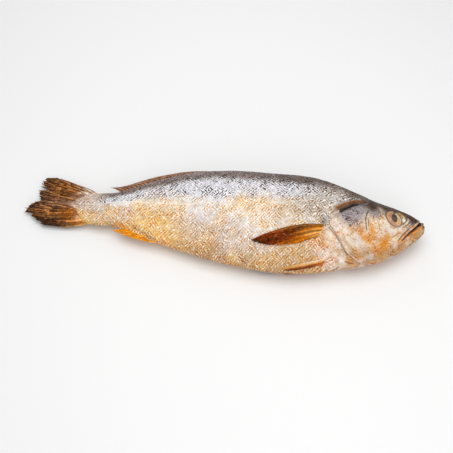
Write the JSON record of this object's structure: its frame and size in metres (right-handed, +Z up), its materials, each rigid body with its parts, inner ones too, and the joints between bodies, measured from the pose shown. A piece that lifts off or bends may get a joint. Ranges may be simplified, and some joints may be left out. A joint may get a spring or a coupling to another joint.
{
  "type": "whole raw fish",
  "caption": "Whole raw fish, a croaker with silver and golden scales, lying on its side with folded fins and a ragged tail.",
  "frame": {"origin": "middle of the fish's outline in plan, on the level that it lies on", "axes": "+X from the tail to the head, +Y from the belly to the back, +Z up out of the side that shows"},
  "size_m": [0.43, 0.1124, 0.0581],
  "materials": {
    "skin": "wet scaled fish skin: slate back, silver side and golden belly",
    "fin": "damp brown and orange fin rays with a thin web",
    "eye": "wet and glossy, dark pupil in a pinkish tan ring",
    "mouth": "moist orange lips with a dark red lining"
  },
  "bodies": {
    "root": {"fish": "skin"}
  },
  "joints": []
}
